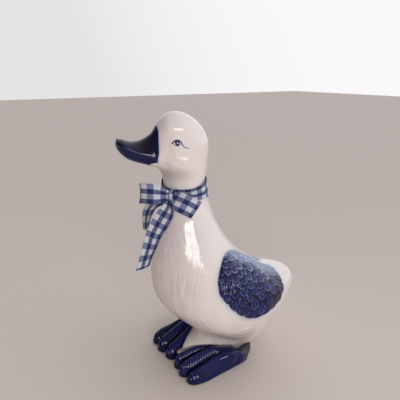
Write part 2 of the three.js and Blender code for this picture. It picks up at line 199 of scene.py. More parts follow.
def inHead(points):  # forward along the bill, left across it, and up
    x, y, z = points.T
    x, y = x - head["centre"][0], y - head["centre"][1]
    s, c = math.sin(head["turn"]), math.cos(head["turn"])
    return -x * s - y * c, x * c - y * s, z


bill = dict(
    top=profile((6, 212), (14, 213.4), (20, 210.4), (25, 205), (30, 201.8), (35, 199.9), (39, 199.7),
                (43, 200.5), (47, 201.7), (49.8, 201.8), (51.2, 200.6), (51.8, 198.2)),
    bottom=profile((6, 180), (12, 179), (16, 177.6), (21, 178.8), (25, 180), (30, 181.6), (35, 183.1),
                   (40, 184.9), (44.5, 187.3), (48.3, 190.9), (50.3, 193.6), (51.8, 196.6)),
    lip=profile((6, 185), (20, 186.2), (24.9, 187), (28.6, 188.6), (33.3, 190.5), (37.7, 192.3),
                (42, 194.4), (47.6, 196.8), (51.8, 197.4)),
    halfWidth=profile((6, 8), (14, 12.4), (19.5, 13), (25, 12.2), (32, 11.7), (39, 12.1), (44, 12.2),
                      (47.5, 10.9), (50, 8), (51.3, 4.6), (51.8, 1.2)),
    root=6,
    tip=51.75,
    rim=1.1,
    box=((-32, -38, 174), (16, 2, 216)),
    voxel=0.5,
    glazeStep=0.1,  # the cobalt stands this far above the cast skin
)


def billForm(points):
    w, t, z = inHead(points)
    along = np.clip(w, bill["root"], bill["tip"])
    lip = bill["lip"](along)
    width = bill["halfWidth"](along)

    def half(q, narrowing, above, below):
        up = q[:, 2] - lip
        rise = np.where(up > 0, np.maximum(up - bill["rim"], 0) / (above - bill["rim"]), up / below)
        roof = np.where(up > 0, rise ** 1.4, rise ** 2)
        return np.sqrt(np.abs(q[:, 1] / (width * narrowing)) ** 2.5 + roof) - 1

    q = np.column_stack((along, t, z))
    upper = asDistance(lambda p: half(p, 1, bill["top"](along) - lip, 0.9), q)
    jaw = mix(1, 0.87, smooth(along, 18, 24))
    lower = asDistance(lambda p: half(p, jaw, 3.0, lip - bill["bottom"](along)), q)
    return pastEnd(join(upper, lower, 0.5), np.abs(w - along))


legs = dict(
    front=profile((1.2, 12), (6, 12), (14, 16), (22, 25), (34, 34)),
    back=profile((1.2, 56), (6, 60), (14, 74), (22, 84), (34, 92)),
    halfWidth=profile((1.2, 17), (6, 19), (14, 23), (22, 27), (34, 30)),
    low=1.2,
    high=34,
)


def legForm(points):
    cut = np.clip(points, (-200, -200, legs["low"]), (200, 300, legs["high"]))

    def shape(p):
        x, y, z = p.T
        front, back = legs["front"](z), legs["back"](z)
        middle = mix(front, back, 0.68)
        along = (middle - y) / np.where(y < middle, middle - front, back - middle)
        ahead = np.clip(along, 0, 1)
        taper = mix(0.55, 0.4, smooth(z, 4, 22))
        return np.hypot(x / (legs["halfWidth"](z) * (1 - taper * ahead * np.sqrt(ahead))), along) - 1

    return pastEnd(asDistance(shape, cut), np.abs(points[:, 2] - cut[:, 2]))


foot = dict(
    length=62,
    outer=profile((0, 36.6), (0.15, 37.6), (0.3, 37), (0.45, 36.2), (0.6, 35.8), (0.75, 35), (0.88, 34.2),
                  (1, 33.2)),
    inner=profile((0, 0.9), (0.1, 1.2), (0.22, 2.8), (0.4, 6.5), (0.6, 13.5), (0.8, 21.5), (1, 27)),
    innerToe=profile((0, 11.5), (0.1, 13.6), (0.2, 15.5), (0.34, 18.2), (0.48, 19.4), (0.6, 17.8),
                     (0.75, 14.6), (0.9, 11.5), (1, 10)),
    middleToe=profile((0, 10.2), (0.1, 12.2), (0.22, 14.6), (0.38, 17.4), (0.52, 19), (0.6, 18),
                      (0.75, 13.8), (0.9, 10.8), (1, 9.5)),
    outerToe=profile((0, 8.4), (0.08, 9.1), (0.15, 10.4), (0.3, 12.4), (0.45, 15.6), (0.6, 17),
                     (0.75, 14.4), (0.9, 12), (1, 10)),
    web=profile((0, 0.4), (0.15, 0.58), (0.35, 0.74), (0.6, 0.9), (0.85, 1), (1, 1)),  # share of the toes
    notch=6.5,  # how far the web's edge lies behind the toe tips
    nose=5.5,
    heelRound=5,
    spur=((28.2, 53, 6, 5.8), (27.8, 58, 5.6, 4.8), (27.8, 62.3, 7.4, 4.9), (28.9, 63.8, 10.6, 3.7),
          (30.9, 64.4, 15.2, 1.6)),  # places and radii
    spurJoin=3.5,
    ankle=((29.2, 43.2, 11.4), (6.8, 9, 6)),  # middle and radii
    ankleJoin=4,
    floorRound=1.2,
    spread=1.14,  # the right foot is this much wider
    rightTilt=(0.85, 0.0098),  # its height beside the middle, and how it grows outward
    ringPitch=2.3,
    ringHeight=0.17,
    middle=(20, 31, 8),  # outside this block a simpler distance is near enough
    reach=(19, 33, 13),
    box=((-3, -6, -2), (44, 72, 24)),
    voxel=0.45,
)


def toeRound(v):
    return np.sqrt(np.abs(np.sin(np.clip(v, 0, 1) * 3 * np.pi)))


def footPlace(x, y):  # how far along the foot, how far across it, and the toe edge there
    u = np.clip(y / foot["length"], 0, 1)
    for _ in range(5):
        v = (x - foot["inner"](u)) / (foot["outer"](u) - foot["inner"](u))
        within = np.clip(v, 0, 1)
        tip = mix(foot["notch"], 0, toeRound(within)) - 2 * np.sin(np.pi * within) ** 2 + 1
        u = np.clip((y - tip) / (foot["length"] - tip), 0, 1)
    return u, v, tip


def footHeightSquared(x, y):
    u, v, tip = footPlace(x, y)
    nose = 1 - (1 - np.minimum((y - tip) / foot["nose"], 1)) ** 2
    heel = 1 - (1 - np.minimum((foot["length"] - y) / foot["heelRound"], 1)) ** 2
    side = 1 - np.abs(2 * v - 1) ** mix(5, 2.8, smooth(u, 0.15, 0.5))
    groove = mix(foot["web"](u), 1, toeRound(v) ** 1.8)
    toe = np.clip(3 * v - 0.5, 0, 2)
    crest = mix(foot["innerToe"](u), foot["middleToe"](u), np.minimum(toe, 1))
    high = mix(crest, foot["outerToe"](u), np.maximum(toe - 1, 0)) * groove
    outside = np.minimum(np.minimum(nose, heel), side)
    return high ** 2 * np.where(outside > 0, nose * heel * side, np.maximum(outside, -3))


def footForm(points):
    def shape(p):
        return p[:, 2] * np.abs(p[:, 2]) - footHeightSquared(p[:, 0], p[:, 1])

    far = np.linalg.norm(np.maximum(np.abs(points - foot["middle"]) - foot["reach"], 0), axis=1)
    near = np.clip(asDistance(shape, points), -9, 9)
    near = np.where(far > 0, np.maximum(near, far * 0.8), near)
    middle, radii = np.array(foot["ankle"])
    reach = (points - middle) / radii
    length = np.linalg.norm(reach, axis=1)
    bone = length * (length - 1) / np.maximum(np.linalg.norm(reach / radii, axis=1), 1e-6)
    near = join(near, bone, foot["ankleJoin"])
    spur = np.full(len(points), 50.0)
    for a, b in zip(foot["spur"], foot["spur"][1:]):
        a, b = np.array(a), np.array(b)
        t = alongLine(points, a[:3], b[:3])
        away = np.linalg.norm(points - a[:3] - t[:, None] * (b - a)[:3], axis=1)
        spur = np.minimum(spur, away - mix(a[3], b[3], t))
    return -join(-join(near, spur, foot["spurJoin"]), points[:, 2], foot["floorRound"])


duck = dict(
    billJoin=5,
    legJoin=7,
    underside=1.3,
    box=((-52, -38, -1), (52, 138, 225)),
    voxel=1.05,
    lineDepth=0.085,
)


def duckForm(points):
    whole = join(bodyForm(points), billForm(points), duck["billJoin"])
    whole = join(whole, legForm(points), duck["legJoin"])
    return np.maximum(whole, duck["underside"] - points[:, 2])


def gradient(form, points, step=0.06):
    slope = np.empty_like(points)
    for axis in range(3):
        shift = np.zeros(3)
        shift[axis] = step
        slope[:, axis] = (form(points + shift) - form(points - shift)) / (2 * step)
    return slope


def settle(form, points, rounds=2):  # moves points onto the surface
    for _ in range(rounds):
        slope = gradient(form, points)
        away = form(points) / np.maximum((slope ** 2).sum(1), 0.2)
        points = points - np.clip(away, -0.7, 0.7)[:, None] * slope
    return points


def skin(form, low, high, voxel, band=4):  # quads over the surface of a form
    counts = [4 * math.ceil((b - a) / voxel / 4) for a, b in zip(low, high)]
    axes = [a + voxel * np.arange(n) for a, n in zip(low, counts)]
    coarse = np.stack(np.meshgrid(*[axis[::4] + 1.5 * voxel for axis in axes], indexing="ij"), -1)
    rough = form(coarse.reshape(-1, 3)).reshape(coarse.shape[:3])
    values = rough.repeat(4, 0).repeat(4, 1).repeat(4, 2)
    chosen = np.nonzero(np.abs(values) < band + 4 * voxel)
    points = np.column_stack([axis[i] for axis, i in zip(axes, chosen)])
    batch = 400000
    for start in range(0, len(points), batch):
        part = slice(start, start + batch)
        values[tuple(i[part] for i in chosen)] = form(points[part])
    grid = openvdb.FloatGrid(background=band)
    grid.copyFromArray(np.clip(values, -band, band).astype(np.float32))
    spots, triangles, quads = grid.convertToPolygons(isovalue=0, adaptivity=0)
    return np.asarray(spots, float) * voxel + low, quads.tolist() + triangles.tolist()


def relax(points, faces, weight, rounds):  # evens out the surface where the weight is 1
    corners = np.array([face for face in faces if len(face) == 4])
    pairs = np.vstack([corners[:, (i, (i + 1) % 4)] for i in range(4)])
    for _ in range(rounds):
        total, count = np.zeros_like(points), np.zeros(len(points))
        np.add.at(total, pairs[:, 0], points[pairs[:, 1]])
        np.add.at(total, pairs[:, 1], points[pairs[:, 0]])
        np.add.at(count, pairs.ravel(), 1)
        share = weight * (count > 0) * 0.6
        points = mix(points, total / np.maximum(count, 1)[:, None], share[:, None])
    return points


def vertexNormals(mesh):
    normals = np.empty(len(mesh.vertices) * 3)
    mesh.vertex_normals.foreach_get("vector", normals)
    return normals.reshape(-1, 3)


def addObject(name, data):
    made = bpy.data.objects.new(name, data)
    bpy.context.scene.collection.objects.link(made)
    return made


def makePiece(name, points, faces, material):
    mesh = bpy.data.meshes.new(name)
    mesh.from_pydata(toFrame(points).tolist(), [], faces)
    mesh.polygons.foreach_set("use_smooth", [True] * len(mesh.polygons))
    mesh.materials.append(material)
    mesh.update()
    piece = addObject(name, mesh)
    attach(piece, "root")
    return piece


def putPoints(piece, points):
    piece.data.vertices.foreach_set("co", toFrame(points).ravel())
    piece.data.update()


def putValues(piece, **values):  # one number per vertex, read by the materials
    for name, numbers in values.items():
        attribute = piece.data.attributes.new(name, "FLOAT", "POINT")
        attribute.data.foreach_set("value", np.asarray(numbers, np.float32))


# Materials. Effects that several materials use are node groups with named sockets.

def newGroup(name, inputs, outputs):
    group = bpy.data.node_groups.new(name, "ShaderNodeTree")
    for label, kind, value in inputs:
        socket = group.interface.new_socket(label, in_out="INPUT", socket_type=kind)
        socket.default_value = value
    for label, kind in outputs:
        group.interface.new_socket(label, in_out="OUTPUT", socket_type=kind)
    return group, group.nodes.new("NodeGroupInput"), group.nodes.new("NodeGroupOutput")


def node(tree, kind, **settings):
    made = tree.nodes.new("ShaderNode" + kind)
    for key, value in settings.items():
        if key.startswith("in_"):
            made.inputs[key[3:].replace("_", " ")].default_value = value
        else:
            setattr(made, key, value)
    return made


def maths(tree, operation, a, b=None, c=None):
    made = tree.nodes.new("ShaderNodeMath")
    made.operation = operation
    for i, value in enumerate((a, b, c)):
        if value is None:
            continue
        if isinstance(value, (int, float)):
            made.inputs[i].default_value = value
        else:
            tree.links.new(value, made.inputs[i])
    return made.outputs[0]


def times(tree, a, b):
    return maths(tree, "MULTIPLY", a, b)


def ramp(tree, value, low, high, outLow=0.0, outHigh=1.0):
    made = tree.nodes.new("ShaderNodeMapRange")
    made.interpolation_type = "SMOOTHSTEP"
    tree.links.new(value, made.inputs["Value"])
    made.inputs["From Min"].default_value = low
    made.inputs["From Max"].default_value = high
    made.inputs["To Min"].default_value = outLow
    made.inputs["To Max"].default_value = outHigh
    return made.outputs["Result"]


def blendColour(tree, factor, a, b, mode="MIX"):
    made = tree.nodes.new("ShaderNodeMix")
    made.data_type = "RGBA"
    made.blend_type = mode
    for socket, value in ((made.inputs["Factor"], factor), (made.inputs[6], a), (made.inputs[7], b)):
        if isinstance(value, (int, float)):
            socket.default_value = value
        elif isinstance(value, tuple):
            socket.default_value = (*value, 1)
        else:
            tree.links.new(value, socket)
    return made.outputs[2]


def attribute(tree, name):
    return node(tree, "Attribute", attribute_name=name).outputs["Fac"]


def glazeGroup():  # the faint waves and cloudiness of a fired glaze
    group, given, result = newGroup(
        "glazeWaves",
        [("Scale", "NodeSocketFloat", 60.0), ("Wave Height", "NodeSocketFloat", 1.0)],
        [("Height", "NodeSocketFloat"), ("Cloud", "NodeSocketFloat")],
    )
    place = group.nodes.new("ShaderNodeTexCoord").outputs["Object"]
    slow = node(group, "TexNoise", in_Detail=2.0, in_Roughness=0.45)
    fine = node(group, "TexNoise", in_Scale=900.0, in_Detail=1.0)
    cloud = node(group, "TexNoise", in_Scale=26.0, in_Detail=3.0)
    for item in (slow, fine, cloud):
        group.links.new(place, item.inputs["Vector"])
    group.links.new(given.outputs["Scale"], slow.inputs["Scale"])
    waves = times(group, slow.outputs["Fac"], given.outputs["Wave Height"])
    group.links.new(maths(group, "MULTIPLY_ADD", fine.outputs["Fac"], 0.04, waves), result.inputs["Height"])
    group.links.new(cloud.outputs["Fac"], result.inputs["Cloud"])
    return group


glazeWaves = glazeGroup()


def addGlaze(tree, look):  # gives the height of the waves and the cloudiness
    glaze = tree.nodes.new("ShaderNodeGroup")
    glaze.node_tree = glazeWaves
    glaze.inputs["Scale"].default_value = look["waveScale"]
    glaze.inputs["Wave Height"].default_value = look["waveHeight"]
    return glaze.outputs["Height"], glaze.outputs["Cloud"]


def newMaterial(name):
    material = bpy.data.materials.new(name)
    material.use_nodes = True
    return material, material.node_tree


def finishMaterial(tree, look, colour, roughness, height):  # roughness is a number or a socket
    shader = tree.nodes["Principled BSDF"]
    tree.links.new(colour, shader.inputs["Base Color"])
    if isinstance(roughness, float):
        shader.inputs["Roughness"].default_value = roughness
    else:
        tree.links.new(roughness, shader.inputs["Roughness"])
    shader.inputs["Specular IOR Level"].default_value = look["shine"]
    bump = node(tree, "Bump", in_Strength=1.0, in_Distance=look["bumpDistance"])
    tree.links.new(height, bump.inputs["Height"])
    tree.links.new(bump.outputs["Normal"], shader.inputs["Normal"])


porcelainLook = dict(
    cream=(0.79, 0.725, 0.70),
    shade=(0.62, 0.52, 0.47),
    # painted shade: the colour of the shade under the belly, above the feet, and under the chin
    under=(0.32, 0.26, 0.225),
    bleed=(0.36, 0.42, 0.66),
    ink=(0.008, 0.016, 0.07),
    strokeLength=24.0,
    roughness=0.09,
    dullRoughness=0.4,
    shine=0.5,
    waveScale=45.0,
    waveHeight=0.6,
    bumpDistance=0.0004,
)


def porcelainMaterial():
    look = porcelainLook
    material, tree = newMaterial("glazedPorcelain")
    height, cloud = addGlaze(tree, look)
    cream = blendColour(tree, ramp(tree, cloud, 0.3, 0.75, 0, 0.3), look["cream"], look["shade"])
    cream = blendColour(tree, times(tree, attribute(tree, "hollow"), 0.5), cream, look["shade"])
    # painted shade under the belly, above the feet, and under the chin
    cream = blendColour(tree, attribute(tree, "under"), cream, look["under"])
    # fine brush strokes along the combing
    place = node(tree, "CombineXYZ")
    tree.links.new(attribute(tree, "across"), place.inputs["X"])
    tree.links.new(maths(tree, "DIVIDE", attribute(tree, "along"), look["strokeLength"]), place.inputs["Y"])
    strokes = node(tree, "TexNoise", in_Scale=1.0, in_Detail=2.0)
    tree.links.new(place.outputs["Vector"], strokes.inputs["Vector"])
    stroke = ramp(tree, strokes.outputs["Fac"], 0.4, 0.62)
    stroke = times(tree, stroke, attribute(tree, "combed"))
    cream = blendColour(tree, times(tree, stroke, 0.5), cream, look["shade"])
    cream = blendColour(tree, attribute(tree, "bleed"), cream, look["bleed"])
    colour = blendColour(tree, ramp(tree, attribute(tree, "eyeInk"), -0.12, 0.12), cream, look["ink"])
    roughness = ramp(tree, attribute(tree, "softened"), 0, 1, look["roughness"], look["dullRoughness"])
    height = maths(tree, "SUBTRACT", height, times(tree, stroke, 0.3))
    finishMaterial(tree, look, colour, roughness, height)
    return material


# Duck: body, head, bill and legs in one cast skin, and the cobalt feet.

eye = dict(  # places along the bill and up, and the half width of the paint there
    iris=(7.3, 200.0, 1.85),
    # a pale dot left out of each iris: a painted highlight
    paintedGlint=(7.0, 199.9, 0.55),
    lid=((11.6, 199.2, 0.3), (10.5, 200.4, 0.5), (8.6, 201.7, 0.62), (6.4, 201.9, 0.6), (4.6, 200.6, 0.5),
         (3.3, 198.4, 0.38), (1.4, 196.6, 0.32), (-1.5, 195.7, 0.2)),
    lower=((10.2, 199.4, 0.2), (9.0, 198.3, 0.22), (7.3, 197.9, 0.28), (5.6, 198.5, 0.2),
           (4.7, 199.6, 0.15)),
)


def eyeDistance(points):  # positive inside the painted strokes of either eye
    w, t, z = inHead(points)
    spot = np.column_stack((w, z))
    ink = eye["iris"][2] - np.linalg.norm(spot - eye["iris"][:2], axis=1)
    # the pale dot cut out of the iris ink is a painted highlight, on both eyes
    glint = eye["paintedGlint"][2] - np.linalg.norm(spot - eye["paintedGlint"][:2], axis=1)
    ink = np.minimum(ink, -glint)
    for corners in (eye["lid"], eye["lower"]):
        line = openCurve(corners, 30)[0]
        for a, b in zip(line, line[1:]):
            k = alongLine(spot, a[:2], b[:2])
            away = np.linalg.norm(spot - a[:2] - k[:, None] * (b - a)[:2], axis=1)
            ink = np.maximum(ink, mix(a[2], b[2], k) - away)
    return np.where((np.abs(t) > 8) & (points[:, 2] > 190), ink, -2)


wing = dict(
    outline=((50, 87.5), (42, 88), (35, 85), (29, 78), (24.5, 69), (23.6, 62), (24.7, 55),
             (28.7, 48.6), (33.6, 42), (39, 36.5), (45, 32.2), (52.5, 28.4), (60, 26.8), (70.7, 27),
             (82.5, 30), (91, 35.2), (95.5, 42), (98.5, 49.5), (102.5, 55.5), (106, 60.5),
             (104.5, 63.5), (97, 67), (87, 71.5), (76, 77), (62, 83.2)),
    middle=(62, 57),
    tilt=math.radians(25),
    shoulder=(37, 95),  # the feathers fan out from here
    spread=1.7,
    edgeFeathers=13,
    featherHeight=0.95,
    swell=1.4,  # the pad is this much thicker in the middle
    deep=(58.0, 57.0, -9.0),  # a place inside the body that closes the pad
    across=125,
    around=500,
)


def wingDistance(points):  # to the wing's outline on the flank, negative inside it
    s, c = math.sin(wing["tilt"]), math.cos(wing["tilt"])
    spot = np.column_stack((points[:, 1], points[:, 2] * c - np.abs(points[:, 0]) * s))
    corners = closedCurve(wing["outline"], 120)
    nearest = np.full(len(spot), 1e9)
    crossings = np.zeros(len(spot), int)
    for a, b in zip(corners, np.roll(corners, -1, 0)):
        k = alongLine(spot, a, b)
        nearest = np.minimum(nearest, np.linalg.norm(spot - a - k[:, None] * (b - a), axis=1))
        spans = (a[1] > spot[:, 1]) != (b[1] > spot[:, 1])
        rise = (b[1] - a[1]) or 1e-9
        crossings += spans & (spot[:, 0] < a[0] + (spot[:, 1] - a[1]) * (b[0] - a[0]) / rise)
    return np.where(crossings % 2 == 1, -nearest, nearest)


combing = dict(
    centre=(60, 78),  # the strokes curve round this place on each flank
    halfWidth=45,
    halfHeight=62,
    pitches=(3.6, 5.1, 7.7),
)


def combed(points):  # millimetres across and along the strokes from neck to tail, and their strength
    x, y, z = points.T
    back, up = y - combing["centre"][0], z - combing["centre"][1]
    around = np.arctan2(-back, up)
    turn = np.arctan2(np.abs(x) / combing["halfWidth"], np.hypot(back, up) / combing["halfHeight"])
    fade = 0.75 * smooth(turn, 0.5, 0.9) * (1 - smooth(around, 2.1, 2.5))
    strength = smooth(around, 0.75, 1.25) * (1 - fade)
    strength *= 1 - smooth(z, 118, 132)
    strength = np.where(around < 0, smooth(-around, 2.2, 2.7), strength)
    onward = np.where(around < -1, around + 2 * np.pi, around)  # the strokes run on under the belly
    return turn * combing["halfHeight"], onward * combing["halfHeight"], strength * smooth(z, 14, 24)


def neckLines(points):  # long shallow folds down the neck and upper chest
    x, y, z = points.T
    angle = np.arctan2(x / body["halfWidth"](z), (body["widest"](z) - y) / 36)
    angle += 0.09 * wobble(points, 34, 3)
    waves = np.sin(angle * 33 + 1.8 * wobble(points, 21, 1))
    waves += 0.6 * np.sin(angle * 57 + 2 * wobble(points, 17, 5))
    broken = smooth(wobble(points * (1, 1, 0.3), 6.5, 5), -0.5, 0.6)
    depth = 0.4 * waves * broken * smooth(z, 92, 118) * (1 - smooth(z, 140, 158))
    return depth * mix(0.3, 1, smooth(np.cos(angle), -0.8, 0.3))


def brushLines(points):  # the height of the combing and of the neck's folds
    across, along, strength = combed(points)
    drift = np.column_stack((across / 9, along / 26, np.sign(points[:, 0])))
    waves = 0
    for k, pitch in enumerate(combing["pitches"]):
        waves = waves + np.sin(2 * np.pi * across / pitch + 2.2 * wobble(drift, 1, 3 * k))
    broken = smooth(wobble(drift * (2.1, 1.3, 1), 1, 11), -0.7, 0.5)
    return 0.55 * waves * mix(0.35, 1, broken) * strength + neckLines(points)


def paintEdge(t, z):  # how far forward the cobalt of the bill begins
    edge = 19.6 + 1.0 * smooth(z, 207, 213) + 1.1 * (1 - smooth(z, 187, 192))
    return edge + 3.3 * np.clip(184.5 - z, 0, 1.7) + 0.12 * wobble(np.column_stack((t, z, z * 0)), 3, 2)


def refine(piece, chosen, cuts):  # finer faces where the painted eyes need them
    mesh = bmesh.new()
    mesh.from_mesh(piece.data)
    edges = [edge for edge in mesh.edges if chosen[edge.verts[0].index] and chosen[edge.verts[1].index]]
    bmesh.ops.subdivide_edges(mesh, edges=edges, cuts=cuts, use_grid_fill=True)
    mesh.to_mesh(piece.data)
    mesh.free()
    points = np.empty(len(piece.data.vertices) * 3)
    piece.data.vertices.foreach_get("co", points)
    return points.reshape(-1, 3) * 1000 + (0, toeLine, 0)


def faceRelief(points):  # the full brow, and the hollow between it and the cheek
    w, t, z = inHead(points)
    side = smooth(np.abs(t), 4, 12) * smooth(w, -15, -3) * (1 - smooth(w, 12, 19))
    brow = 1.2 * np.exp(-((z - 213) / 8) ** 2) * (1 - smooth(z, 214, 221))
    level = z - 0.17 * np.clip(w - 2, 0, 14)
    hollow = -0.95 * smooth(level, 185.5, 190.5) * (1 - smooth(level, 196, 206))
    return (brow + hollow) * side


def makeDuck():
    material = porcelainMaterial()
    points, faces = skin(duckForm, *duck["box"], duck["voxel"])
    points = settle(duckForm, points)
    piece = makePiece("duck_cast", points, faces, material)
    w, t, z = inHead(points)
    nearEye = (np.abs(t) > 8) & (w > -3.5) & (w < 14) & (z > 193.5) & (z < 205.5)
    points = settle(duckForm, refine(piece, nearEye, 5), 1)
    w, t, z = inHead(points)
    putPoints(piece, points)
    normals = vertexNormals(piece.data)
    lines = brushLines(points)
    sunk = 1.2 * smooth(w - paintEdge(t, z), 0.4, 2) * (z > 174)  # under the bill's own skin
    putPoints(piece, points + normals * (duck["lineDepth"] * lines + faceRelief(points) - sunk)[:, None])
    across, along, strength = combed(points)
    bleed = 0.8 * np.exp(-np.clip(wingDistance(points), 0, 20) / 1.1) * (np.abs(points[:, 0]) > 4)
    bleed = np.maximum(bleed, 0.5 * np.exp(-np.clip(paintEdge(t, z) - w, 0, 20) / 0.9) * (z > 180))
    y = points[:, 1]
    # painted shade: a dark band on the legs under the belly, and under the chin
    under = 0.75 * smooth(z, 12, 30) * (1 - smooth(z, 33, 44)) * (1 - smooth(y, 52, 70))
    under = np.maximum(under, 0.45 * smooth(z, 166, 175) * (1 - smooth(z, 177, 183)) * smooth(w, -12, 8))
    softened = np.maximum(0.9 * smooth(z, 4, 10) * (1 - smooth(z, 26, 34)), 0.32 * smooth(z, 176, 188))
    putValues(piece, eyeInk=eyeDistance(points), hollow=np.clip(-lines, 0, 1), bleed=bleed, under=under,
              across=across, along=along, combed=strength, softened=softened)
    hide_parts("duck")
    print("duck:", len(points), "vertices")


def billPaintForm(points):
    w, t, z = inHead(points)
    return -join(bill["glazeStep"] - duckForm(points), w - paintEdge(t, z), 0.5)


def makeBill():
    points, faces = skin(billPaintForm, *bill["box"], bill["voxel"])
    points = settle(billPaintForm, points)
    w, t, z = inHead(points)
    nearEdge = np.exp(-((w - paintEdge(t, z)) / 1.2) ** 2)
    points = relax(points, faces, np.maximum(smooth(w, 49.3, 50.8), nearEdge), 6)
    piece = makePiece("bill_glaze", points, faces, cobaltMaterial())
    w, t, z = inHead(points)
    inside = duckForm(points) < -0.4
    rim = np.exp(-np.clip(w - paintEdge(t, z), 0, 9) / 0.5)
    # painted dark reflection on the upper side of the bill, away from the paint's edge
    above = smooth(z - bill["lip"](np.clip(w, bill["root"], bill["tip"])), 1.5, 4)
    browned = 0.85 * above * smooth(w - paintEdge(t, z), 0.5, 6)
    ridge = np.where(inside, 0, 0.7 * rim)
    putValues(piece, ridge=ridge, greyed=np.zeros(len(points)), browned=browned)
    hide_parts("duck")
    print("bill:", len(points), "vertices")


cobaltLook = dict(
    deep=(0.004, 0.0055, 0.038),
    thin=(0.025, 0.03, 0.20),
    greyed=(0.06, 0.055, 0.08),
    # painted darkening: a dark reflection on the upper bill, and shade in the webs between the toes
    browned=(0.012, 0.008, 0.012),
    roughness=0.1,
    ridgeRoughness=0.26,
    shine=0.25,
    waveScale=80.0,
    waveHeight=1.0,
    bumpDistance=0.0003,
)


def cobaltMaterial():
    look = cobaltLook
    material, tree = newMaterial("cobaltGlaze")
    height, cloud = addGlaze(tree, look)
    # ridge: paler blue at the bill's paint edge and on the toes' ring crests; on the crests it is partly
    # thin glaze and partly a painted highlight for the glints on the rings
    ridge = attribute(tree, "ridge")
    thin = maths(tree, "MAXIMUM", ramp(tree, cloud, 0.35, 0.8, 0, 0.35), ridge)
    colour = blendColour(tree, thin, look["deep"], look["thin"])
    # painted dark reflection on the top of the bill, and painted shade in the webs of the feet
    for name in ("greyed", "browned"):
        colour = blendColour(tree, attribute(tree, name), colour, look[name])
    roughness = ramp(tree, ridge, 0, 0.9, look["roughness"], look["ridgeRoughness"])
    finishMaterial(tree, look, colour, roughness, height)
    return material


def makeFeet():
    material = cobaltMaterial()
    points, faces = skin(footForm, *foot["box"], foot["voxel"])
    points = settle(footForm, points)
    flat = points[:, 2] < 0.15
    points = relax(points, faces, smooth(points[:, 1], 36, 50) * ~flat, 12)
    points[:, 2] = np.where(flat, 0, points[:, 2])
    u, v, _ = footPlace(points[:, 0], points[:, 1])
    across = np.clip(v, 0, 1) * 3
    onTop = smooth(points[:, 2], 3, 6) * smooth(toeRound(v), 0.6, 0.9)
    ringed = onTop * mix(1 - smooth(u, 0.5, 0.62), 1 - smooth(u, 0.05, 0.16), smooth(across, 1.9, 2.1))
    rings = np.cos(points[:, 1] * 2 * np.pi / foot["ringPitch"] + 5 * np.abs(across % 1 - 0.5)) * ringed
    greyed = smooth(points[:, 1], 53, 60) * smooth(points[:, 0], 23, 29)
    # painted shade in the webs between the toes, in the front half of the foot
    web = (1 - smooth(toeRound(v), 0.55, 0.9)) * (1 - smooth(u, 0.45, 0.7)) * (v > 0.05) * (v < 0.95)
    for name, side in (("foot_left", 1), ("foot_right", -1)):
        turned = faces if side > 0 else [face[::-1] for face in faces]
        placed = points.copy()
        if side < 0:
            placed[:, 0] *= -foot["spread"]
            base, slope = foot["rightTilt"]
            placed[:, 2] *= base - slope * placed[:, 0]
        piece = makePiece(name, placed, turned, material)
        normals = vertexNormals(piece.data)
        raised = placed + normals * (foot["ringHeight"] * rings)[:, None]
        raised[:, 2] = np.where(points[:, 2] < 0.05, 0, np.maximum(raised[:, 2], 0.05))
        putPoints(piece, raised)
        # the ring crests are painted paler: partly thin glaze and partly a painted highlight for the glints
        # on the rings
        putValues(piece, ridge=0.9 * smooth(rings, 0.2, 0.9), greyed=greyed, browned=0.5 * web)
        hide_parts("duck")
    print("feet:", len(points), "vertices each")


# Wings: raised pads on the flanks, in rows of overlapping scalloped feathers.

def flank(back, up, lift):  # the body's side under a place on the leaning wing plane
    s, c = math.sin(wing["tilt"]), math.cos(wing["tilt"])
    base = np.column_stack((-up * s, back, up * c))
    out = np.array((c, 0, s))
    near, far = np.full(len(base), 8.0), np.full(len(base), 110.0)
    for _ in range(30):
        half = (near + far) / 2
        inside = slices(base + half[:, None] * out) < 0
        near, far = np.where(inside, half, near), np.where(inside, far, half)
    return base + (near + lift)[:, None] * out


def scatter(a, b, seed):  # a repeatable number from -1 to 1 for each pair
    value = np.sin(a * 127.1 + b * 311.7 + seed * 74.7) * 43758.5453
    return 2 * (value - np.floor(value)) - 1


def rowPitch(radius):
    return 4.0 + 0.078 * radius


